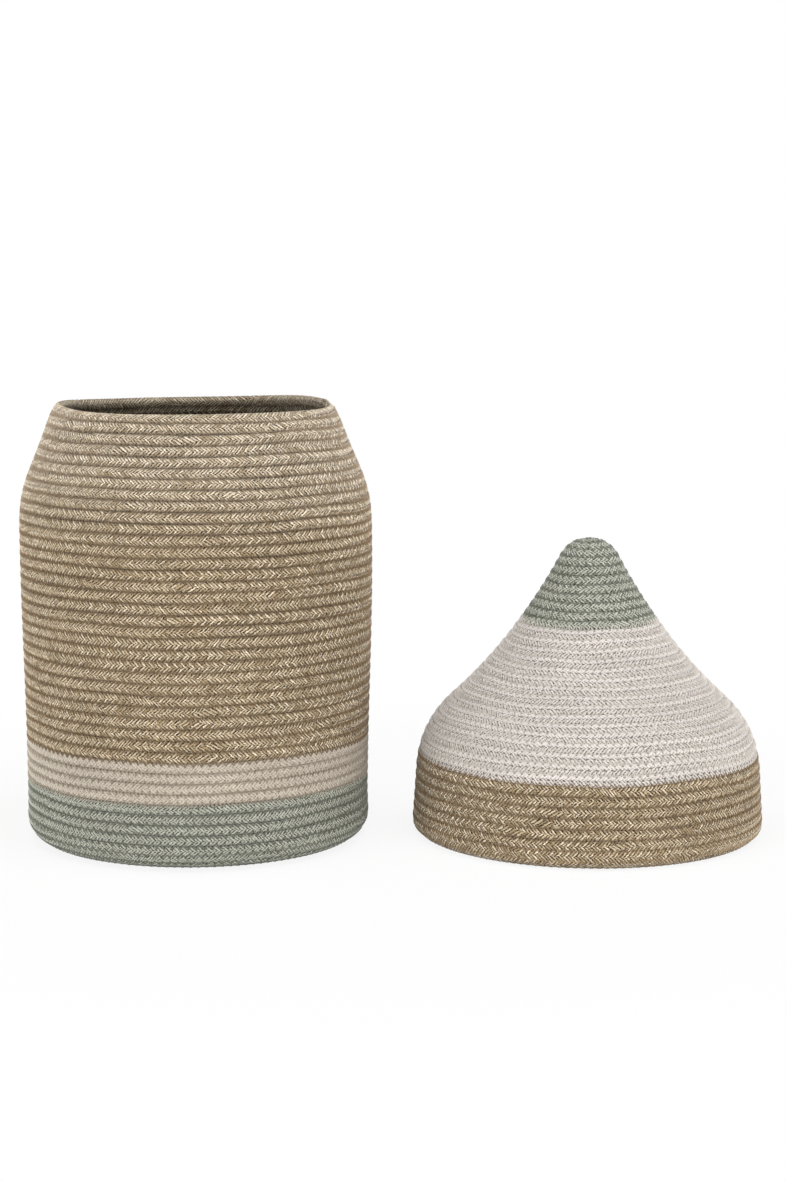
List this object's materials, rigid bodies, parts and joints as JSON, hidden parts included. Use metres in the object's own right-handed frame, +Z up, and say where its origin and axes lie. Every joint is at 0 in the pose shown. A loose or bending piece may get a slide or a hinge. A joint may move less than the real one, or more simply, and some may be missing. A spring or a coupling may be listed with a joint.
{
  "type": "lidded storage basket",
  "caption": "Tall round storage basket of coiled braided cord in the shape of a pencil, with a drawn-in neck, an open mouth and a separate pointed lid standing beside it.",
  "frame": {"origin": "middle of the basket's base, on the floor", "axes": "+Z up the basket, +X from the basket towards the lid that stands beside it"},
  "size_m": [0.642, 0.3125, 0.3743],
  "materials": {
    "tan_cord": "matt heathered cotton braid, tan with cream and dark flecks",
    "cream_cord": "matt cotton braid, warm cream",
    "green_cord": "matt cotton braid, sage green",
    "lid_cream_cord": "matt cotton braid, pale cream"
  },
  "bodies": {
    "basket": {"base_coil": "green_cord", "foot_band": "green_cord", "cream_band": "cream_cord", "tan_wall": "tan_cord"},
    "lid": {"lid_tip": "green_cord", "lid_cone": "lid_cream_cord", "lid_skirt": "tan_cord"}
  },
  "joints": [
    {"name": "lid_lift", "type": "slide", "parent": "basket", "child": "lid", "axis": [0, 0, 1], "range_m": [0, 0.4]}
  ]
}
